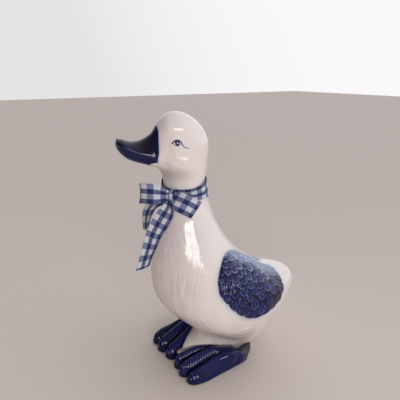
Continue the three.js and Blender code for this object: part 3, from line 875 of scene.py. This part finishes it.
def feathers(back, up):  # height, rim, barb, depth and brightness of the feather that shows at each place
    x, y = back - wing["shoulder"][0], wing["shoulder"][1] - up
    radius = np.hypot(x, y)
    turn = np.arctan2(x, y)
    height, rim, barb, depth, bright = (np.zeros_like(radius) for _ in range(5))
    free = np.ones_like(radius, bool)
    tipRadius = 6.0
    row = 0
    while free.any() and row < 30:
        pitch = rowPitch(tipRadius)
        count = max(3, round(wing["spread"] * tipRadius / pitch * 0.88))
        phase = turn / wing["spread"] * count + 0.5 * (row % 2) + 0.16 * np.sin(turn * 5 + row * 2.1)
        feather = np.floor(phase)
        p = phase - feather - 0.5
        long = tipRadius + 0.16 * pitch * scatter(feather, row, 1)
        tip = long - 0.55 * pitch * np.abs(2 * p) ** 2.6
        here = free & (radius <= tip)
        free &= ~here
        inward = (long - radius) / pitch  # 0 at the tip, past 1 at the root
        inset = np.minimum((tip - radius) / pitch, (0.5 - np.abs(p)) * 1.1 + 0.02)
        fan = p / (0.26 + 0.55 * np.clip(1.5 - inward, 0.1, 1.5))
        barbs = np.cos(2 * np.pi * (2.6 * fan) + 1.2 * scatter(feather, row, 2))
        inside = smooth(inset, 0.12, 0.26) * smooth(pitch, 5.0, 6.4)
        edge = smooth(inset, 0.0, 0.05) * (1 - smooth(inset, 0.13, 0.26)) * (1 - smooth(inward, 0.35, 0.8))
        scale = 1 - smooth(pitch, 5.0, 7.0)  # small plain scales near the shoulder
        dome = 1 - (2 * p) ** 2 * 0.9 - np.clip(0.35 - inward, -0.65, 0.35) ** 2 * 2.2
        dome = np.sqrt(np.clip(dome, 0, 1))
        high = 0.75 - 0.85 * np.clip(inward, 0, 1.4) + 0.26 * edge * (1 - scale)
        high -= 0.7 * (1 - smooth(inset, 0, 0.08))
        high += mix(0.30, 0.95, scale) * dome + 0.20 * barbs * inside - 0.22 * inside
        height = np.where(here, high * mix(0.8, 1.1, np.clip(pitch / 9, 0, 1)), height)
        rim = np.where(here, edge * mix(1, 0.55, scale), rim)
        barb = np.where(here, smooth(barbs, 0.1, 0.8) * inside * smooth(1.25 - inward, 0, 0.5), barb)
        gap = np.maximum(smooth(inward, 0.45, 1.15), 1 - smooth(inset, 0.0, 0.05))
        depth = np.where(here, gap, depth)
        bright = np.where(here, 0.5 + 0.5 * scatter(feather, row, 5), bright)
        tipRadius += pitch
        row += 1
    return height, rim, barb, depth, bright


wingLook = dict(
    deep=(0.005, 0.007, 0.06),
    blue=(0.026, 0.04, 0.24),
    rim=(0.22, 0.28, 0.56),
    pale=(0.27, 0.33, 0.46),
    paleRim=(0.52, 0.58, 0.72),
    dusk=(0.028, 0.028, 0.055),
    duskRim=(0.10, 0.10, 0.17),
    gap=(0.16, 0.18, 0.34),
    roughness=0.09,
    shine=0.32,
    waveScale=150.0,
    waveHeight=1.0,
    bumpDistance=0.0003,
)


def wingMaterial():
    look = wingLook
    material, tree = newMaterial("featherGlaze")
    height, cloud = addGlaze(tree, look)
    bright, dusk = attribute(tree, "bright"), attribute(tree, "dusk")
    tone = maths(tree, "ADD", attribute(tree, "tone"), maths(tree, "MULTIPLY_ADD", cloud, 0.4, -0.2))
    wash = ramp(tree, tone, 0.25, 0.95)
    ground = blendColour(tree, wash, look["deep"], look["pale"])
    ground = blendColour(tree, dusk, ground, look["dusk"])
    raised = blendColour(tree, ramp(tree, tone, -0.1, 0.35), look["rim"], look["paleRim"])
    raised = blendColour(tree, dusk, raised, look["duskRim"])
    between = blendColour(tree, ramp(tree, tone, 0.0, 0.7), look["blue"], look["rim"])
    between = blendColour(tree, dusk, between, look["duskRim"])
    barbs = times(tree, attribute(tree, "barb"), ramp(tree, bright, 0, 1, 0.25, 0.95))
    colour = blendColour(tree, barbs, ground, between)
    soft = ramp(tree, wash, 0.5, 1, 1, 0.45)  # rims and gaps are fainter in the pale feathers
    rims = times(tree, attribute(tree, "rim"), ramp(tree, bright, 0, 1, 0.35, 1.0))
    colour = blendColour(tree, times(tree, rims, soft), colour, raised)
    gaps = times(tree, times(tree, attribute(tree, "depth"), 0.75), soft)
    colour = blendColour(tree, gaps, colour, look["gap"], "MULTIPLY")
    finishMaterial(tree, look, colour, look["roughness"], height)
    return material


def makeWings():
    material = wingMaterial()
    around = wing["around"]
    outline = closedCurve(wing["outline"], around)
    fractions = np.concatenate((np.linspace(0.02, 1, wing["across"]), [1.004, 1.009]))
    f = np.repeat(fractions, around)
    rim = np.tile(outline, (len(fractions), 1))
    centre = np.array(wing["middle"])
    # the lower edge follows the tips of the last feathers
    turn = np.arctan2(rim[:, 0] - wing["shoulder"][0], wing["shoulder"][1] - rim[:, 1])
    scallop = np.abs(np.sin(turn / wing["spread"] * wing["edgeFeathers"] * np.pi))
    low = 1 - smooth(rim[:, 1] + 0.2 * rim[:, 0], 52, 72)
    notch = 0.03 * low * (1 - scallop ** 0.7) * smooth(f, 0.8, 1)
    place = mix(centre, mix(centre, rim, f[:, None]), (1 - notch)[:, None])
    height, edge, barb, depth, bright = feathers(place[:, 0], place[:, 1])
    thick = mix(2.4, 0.9, smooth(rim[:, 1] + 0.35 * rim[:, 0], 84, 104))
    rounded = np.sqrt(np.clip(1 - np.clip((f - 0.96) / 0.04, 0, 1) ** 2, 0, 1))
    strength = mix(0.35, 1, 1 - smooth(f, 0.93, 1))
    lift = (thick + wing["featherHeight"] * height * strength) * rounded
    lift += wing["swell"] * np.clip(1 - f * f, 0, 1)
    lift = np.where(f > 1, -1.2 - (f - 1.004) * 300, np.where(f > 0.9999, -0.3, lift))
    points = flank(place[:, 0], place[:, 1], lift)
    deep = flank(*np.array(wing["deep"])[:, None])
    points = np.vstack((points, points[:around].mean(0), deep))
    faces = []
    for here in range(0, (len(fractions) - 1) * around, around):
        there = here + around
        for i in range(around):
            k = (i + 1) % around
            faces.append((here + i, here + k, there + k, there + i))
    last = (len(fractions) - 1) * around
    for i in range(around):
        k = (i + 1) % around
        faces.append((len(points) - 2, k, i))
        faces.append((len(points) - 1, last + i, last + k))
    upBack = place[:, 1] + 0.35 * place[:, 0]
    blotch = 0.12 * wobble(np.column_stack((place, f)), 8, 2)
    rearTop = place[:, 1] + 0.55 * place[:, 0]
    fringe = 0.8 * smooth(f, 0.9, 1) * smooth(upBack, 90, 100)
    tone = np.maximum(smooth(rearTop, 95, 117), fringe) + blotch
    edge = edge * mix(0.16, 1, smooth(upBack, 68, 88))
    dusk = smooth(place[:, 0] - 0.55 * place[:, 1] + 60 * blotch, 44, 70)
    dusk *= 1 - 0.8 * smooth(upBack, 84, 96)
    values = dict(tone=tone, dusk=dusk, rim=edge, barb=barb, depth=depth, bright=bright)
    for name, side in (("wing_left", 1), ("wing_right", -1)):
        turned = faces if side < 0 else [face[::-1] for face in faces]
        piece = makePiece(name, points * (side, 1, 1), turned, material)
        putValues(piece, **{key: np.concatenate((value, [value[0], 0])) for key, value in values.items()})
        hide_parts("duck")
    print("wings:", len(points), "vertices each")


# Ribbon: one length of gingham, round the neck and tied in a bow.

def oneWay(across, *centres):  # a stretch of ribbon that lies the same way throughout
    return [(centre, across) for centre in centres]


ribbon = dict(
    width=15.0,
    thickness=0.35,
    check=3.75,
    checkLength=5.0,
    gap=0.5,  # between the neck and the collar
    slack=0.3,
    collarLow=154.5,
    collarHigh=169.0,
    collarLength=117.0,
    knotAngle=math.radians(38),
    knot=(10.8, -1.2, 159),
    knotSize=(5.4, 3.3, 5.8),
    knotTurn=math.radians(40),
    knotAround=30,
    knotTakes=22,  # the length of flat ribbon in the knot
    longTail=(((12.5, -3.2, 157.5), (-2, 10, -9)), ((14.6, -5.6, 150), (-2, 12, -8)),
              ((10.7, -10.6, 138.8), (1, 12, -8.5)), ((6.9, -14.6, 128.2), (-1.4, 12.9, -7.6)),
              ((4.6, -17.4, 117.2), (-3.8, 13.5, -5.4)), ((2.9, -20.4, 107.2), (-4.9, 14.1, -1.7)),
              ((1.9, -22.4, 100), (-4.9, 14.2, -0.8))),
    shortTail=(((9, -3.5, 158), (12, 0, -8)), ((3.4, -9.8, 153.6), (14.4, 1.5, -2)),
               ((0.4, -14.2, 147.4), (14.4, 2.9, 2.8)), ((0.2, -16.5, 140.4), (14.2, 0.9, 4.9)),
               ((1, -17.8, 132), (13.7, -2.1, 5.7))),
    leftLoop=oneWay((3.7, -2.3, -14.3), (11, -2.5, 160), (12.5, -10.5, 162), (9.6, -17.2, 162.9),
                    (4.6, -21.3, 162.7), (0.2, -21.6, 161.8), (-2, -18, 160.9), (1.2, -11.3, 160.2),
                    (8.4, -3.2, 159.3)),
    rightLoop=(((12, -1.5, 159), (-1, -8.5, -12.3)), ((19.5, -2.4, 158.5), (-1, -8.5, -12.3)),
               ((26.2, 1.1, 156.7), (-1, -8.7, -12.2)), ((28.6, 7.4, 152.8), (-1.2, -8.9, -12)),
               ((27.2, 11.6, 149.9), (-1.2, -8.9, -12)), ((23.6, 11.2, 150.4), (-1.2, -8.9, -12)),
               ((19.6, 5.6, 153.8), (-1.1, -8.7, -12.2)), ((13, 0, 157.5), (-1, -8.5, -12.3))),
    # for each strip: whether both ends are tied, how much of it is gathered, and how it curls
    strips=dict(longTail=(False, 0.22, -0.9), shortTail=(False, 0.22, 0.8),
                leftLoop=(True, 0.28, 0.9), rightLoop=(True, 0.2, 0.3)),
)


def thicken(points, rows, columns, closed):  # two faces of cloth and the edges between
    faces = []
    for i in range(rows if closed else rows - 1):
        here, there = i * columns, ((i + 1) % rows) * columns
        for j in range(columns - 1):
            faces.append((here + j, here + j + 1, there + j + 1, there + j))
    grid = points.reshape(rows, columns, 3)
    along = np.roll(grid, -1, 0) - np.roll(grid, 1, 0)
    if not closed:
        along[0], along[-1] = grid[1] - grid[0], grid[-1] - grid[-2]
    across = np.gradient(grid, axis=1)
    normal = np.cross(along, across)
    normal /= np.linalg.norm(normal, axis=2, keepdims=True) + 1e-9
    shell = normal.reshape(-1, 3) * ribbon["thickness"] / 2
    count = len(points)
    both = np.vstack((points + shell, points - shell))
    allFaces = [face[::-1] for face in faces] + [tuple(count + i for i in face) for face in faces]
    loops = [[i * columns for i in range(rows)], [i * columns + columns - 1 for i in range(rows)][::-1]]
    if closed:
        loops = [loop + loop[:1] for loop in loops]
    else:
        loops += [list(range(columns - 1, -1, -1)), [(rows - 1) * columns + j for j in range(columns)]]
    for loop in loops:
        for a, b in zip(loop, loop[1:]):
            allFaces.append((a, count + a, count + b, b))
    return both, allFaces


def strip(name, startAlong, rows=110, columns=21):
    bothTied, share, curl = ribbon["strips"][name]
    curve, length = openCurve([(*centre, *across) for centre, across in ribbon[name]], rows)
    centre, across = curve[:, :3], unit(curve[:, 3:])
    normal = unit(np.cross(np.gradient(centre, axis=0), across))
    t = np.linspace(0, 1, rows)
    fromKnot = np.minimum(t, 1 - t) if bothTied else t
    gather = 1 - smooth(fromKnot, 0.0, share)  # 1 where the cloth is pleated into the knot
    q = np.linspace(-1, 1, columns)
    width = ribbon["width"] * mix(1, 0.5, gather)
    pleats = 0.85 * np.sin(q[None, :] * 2.6 * np.pi + 0.6) * gather[:, None]
    cup = curl * (q ** 2)[None, :]
    spread = centre[:, None, :] + across[:, None, :] * (q[None, :, None] * width[:, None, None] / 2)
    points = spread + normal[:, None, :] * (pleats + cup)[:, :, None]
    alongValue = np.repeat(startAlong + t * length, columns)
    acrossValue = np.tile(q * ribbon["width"] / 2, rows)
    return points.reshape(-1, 3), alongValue, acrossValue, rows, columns, length


def ringPoint(z, angle, outward):  # a place round the neck, counted from the front
    middle = body["widest"](z)
    along = np.cos(angle)
    reach = np.where(along > 0, middle - body["front"](z), body["back"](z) - middle)
    width = body["halfWidth"](z)
    normal = unit(np.column_stack((np.sin(angle) / width, -along / reach)))
    ring = np.column_stack((width * np.sin(angle), middle - reach * along, z))
    ring[:, :2] += normal * outward[:, None]
    return ring


def collarCloth(rows=220, columns=17):
    angle = np.repeat(np.linspace(0, 2 * np.pi, rows, endpoint=False) + ribbon["knotAngle"], columns)
    q = np.tile(np.linspace(0, 1, columns), rows)
    toKnot = np.cos(angle - ribbon["knotAngle"])
    low = ribbon["collarLow"] + 1.5 * smooth(toKnot, 0.35, 0.98)
    high = mix(ribbon["collarHigh"], ribbon["collarLow"] + 9.5, smooth(toKnot, -0.3, 0.95))
    pleats = 0.45 * np.sin(q * 3 * np.pi + 2 * angle) * smooth(toKnot, -0.2, 0.9)
    folds = 0.18 * np.sin(angle * 9 + q * 3)
    out = ribbon["gap"] + ribbon["thickness"] + ribbon["slack"] + np.maximum(pleats + folds, -0.45)
    points = ringPoint(mix(low, high, q), angle, out)
    along = np.repeat(np.arange(rows) / rows * ribbon["collarLength"], columns)
    return points, along, (q - 0.5) * ribbon["width"], rows, columns


def knotCloth(rows=48, columns=25):
    theta = np.repeat(np.linspace(0, 2 * np.pi, rows, endpoint=False), columns)
    q = np.tile(np.linspace(-1, 1, columns), rows)
    squeeze = np.sqrt(1 - (0.86 * q) ** 2)
    pleat = 0.35 * np.sin(q * 9 + 0.8 * np.sin(theta))
    size = ribbon["knotSize"]
    x = q * size[0] * 0.8
    y = np.cos(theta) * (size[1] * squeeze + pleat)
    z = np.sin(theta) * (size[2] * squeeze + pleat)
    s, c = math.sin(ribbon["knotTurn"]), math.cos(ribbon["knotTurn"])
    points = np.column_stack((x * c - y * s, x * s + y * c, z)) + ribbon["knot"]
    return points, theta / (2 * np.pi) * ribbon["knotAround"], q * ribbon["width"] / 2, rows, columns


ginghamLook = dict(
    navy=(0.008, 0.02, 0.13),
    warp=(0.026, 0.045, 0.19),
    weft=(0.12, 0.16, 0.36),
    white=(0.74, 0.75, 0.79),
    edge=0.02,  # how soft the checks end, as a share of two checks
    thread=0.30,
    roughness=0.78,
    shine=0.5,
    bumpDistance=0.00008,
)


def ginghamMaterial():
    look = ginghamLook
    material, tree = newMaterial("ginghamRibbon")
    along, across = attribute(tree, "along"), attribute(tree, "across")

    def stripes(value, period):
        place = maths(tree, "FRACT", maths(tree, "DIVIDE", value, period))
        wave = maths(tree, "ABSOLUTE", maths(tree, "SUBTRACT", place, 0.5))
        return ramp(tree, wave, 0.25 - look["edge"], 0.25 + look["edge"])

    def threads(value):
        return maths(tree, "SINE", times(tree, value, 2 * math.pi / look["thread"]))

    check = ribbon["check"]
    warp = stripes(maths(tree, "ADD", across, check / 2), 2 * check)
    weft = stripes(along, 2 * ribbon["checkLength"])
    one = maths(tree, "ABSOLUTE", maths(tree, "SUBTRACT", warp, weft))
    blue = blendColour(tree, warp, look["weft"], look["warp"])
    colour = blendColour(tree, one, look["white"], blue)
    # where only one thread is blue, the two colours show thread by thread
    weave = times(tree, threads(along), threads(across))
    whitened = times(tree, one, ramp(tree, weave, -0.4, 0.4, 0, 0.25))
    colour = blendColour(tree, whitened, colour, look["white"])
    colour = blendColour(tree, times(tree, warp, weft), colour, look["navy"])
    finishMaterial(tree, look, colour, look["roughness"], weave)
    return material


def makeRibbon():
    points, faces, along, across = [], [], [], []
    total = 0

    def take(cloth, closed):
        nonlocal total
        spots, u, v, rows, columns = cloth[:5]
        both, made = thicken(spots, rows, columns, closed)
        faces.extend(tuple(i + total for i in face) for face in made)
        points.append(both)
        along.extend([u, u])
        across.extend([v, v])
        total += len(both)

    take(collarCloth(), True)
    take(knotCloth(), True)
    flat = ribbon["collarLength"]
    for name in ribbon["strips"]:
        cloth = strip(name, flat)
        flat += cloth[5]
        take(cloth, False)
        print("ribbon:", name, round(cloth[5], 1), "mm")
    flat += ribbon["knotTakes"]
    piece = makePiece("ribbon_cloth", np.vstack(points), faces, ginghamMaterial())
    putValues(piece, along=np.concatenate(along), across=np.concatenate(across))
    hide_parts("ribbon_bow")
    print("ribbon: flat length", round(flat, 1), "mm")


# Studio: a plain pale floor and wall, soft light, and the camera where the photograph was taken.

studio = dict(
    camera=(283.2, -145.2, 250.0),
    heading=58.0,
    pitch=17.0,
    lens=37.8,
    floor=(0.67, 0.585, 0.535),
    floorReach=4,
    floorDrop=0.0003,
    sky=(0.93, 0.94, 0.98),
    room=(0.95, 0.80, 0.72),
    wall=(0.78, 0.77, 0.78),
    dimmest=0.1,
    brightest=1.23,
    towards=(-0.2, 0.93, 0.3),
    panes=((856, -541, 355), (995, -201, 355)),
    paneSize=(0.34, 0.19),
    panePower=2.5,
    paneAim=(10, 10, 120),
    light=(0.98, 0.98, 1),
)


def aimAlong(thing, direction):
    thing.rotation_mode = "QUATERNION"
    thing.rotation_quaternion = Vector(direction).to_track_quat("-Z", "Y")


def makeCamera():
    camera = addObject("camera", bpy.data.cameras.new("camera"))
    camera.data.lens = studio["lens"]
    camera.data.sensor_width = 36
    camera.location = toFrame(studio["camera"])
    pitch, yaw = math.radians(studio["pitch"]), math.radians(studio["heading"])
    level = math.cos(pitch)
    aimAlong(camera, (-math.sin(yaw) * level, math.cos(yaw) * level, -math.sin(pitch)))
    camera.data.clip_start, camera.data.clip_end = 0.01, 20
    bpy.context.scene.camera = camera


def makeFloor():
    reach, drop = studio["floorReach"], studio["floorDrop"]
    corners = [(reach * x, reach * y, -drop) for x, y in ((-1, -1), (1, -1), (1, 1), (-1, 1))]
    mesh = bpy.data.meshes.new("floor")
    mesh.from_pydata(corners, [], [(0, 1, 2, 3)])
    material, tree = newMaterial("floor")
    shader = tree.nodes["Principled BSDF"]
    shader.inputs["Base Color"].default_value = (*studio["floor"], 1)
    shader.inputs["Roughness"].default_value = 0.8
    mesh.materials.append(material)
    floor = addObject("floor", mesh)


def makeRoom():  # bright on one side, as beside a white wall
    world = bpy.data.worlds.new("studioWorld")
    world.use_nodes = True
    tree = world.node_tree
    background = tree.nodes["Background"]
    direction = tree.nodes.new("ShaderNodeTexCoord").outputs["Generated"]
    facing = node(tree, "VectorMath", operation="DOT_PRODUCT")
    tree.links.new(direction, facing.inputs[0])
    facing.inputs[1].default_value = studio["towards"]
    facing = facing.outputs["Value"]
    behind = node(tree, "LightPath").outputs["Is Camera Ray"]
    colour = blendColour(tree, ramp(tree, facing, -0.5, 0.5), studio["room"], studio["sky"])
    tree.links.new(blendColour(tree, behind, colour, studio["wall"]), background.inputs["Color"])
    strength = ramp(tree, facing, -0.55, 0.9, studio["dimmest"], studio["brightest"])
    tree.links.new(maths(tree, "MAXIMUM", strength, behind), background.inputs["Strength"])
    bpy.context.scene.world = world
    bpy.context.scene.view_settings.view_transform = "Standard"


def makePanes():
    for name, place in zip(("paneLeft", "paneRight"), studio["panes"]):
        data = bpy.data.lights.new(name, "AREA")
        data.shape = "RECTANGLE"
        data.size, data.size_y = studio["paneSize"]
        data.energy = studio["panePower"]
        data.color = studio["light"]
        lamp = addObject(name, data)
        lamp.location = toFrame(place)
        aimAlong(lamp, Vector(toFrame(studio["paneAim"])) - lamp.location)


def makeStudio():
    makeCamera()
    makeFloor()
    makeRoom()
    makePanes()
    print("studio: camera, floor, room and panes")


makeStudio()
makeDuck()
makeBill()
makeFeet()
makeWings()
makeRibbon()
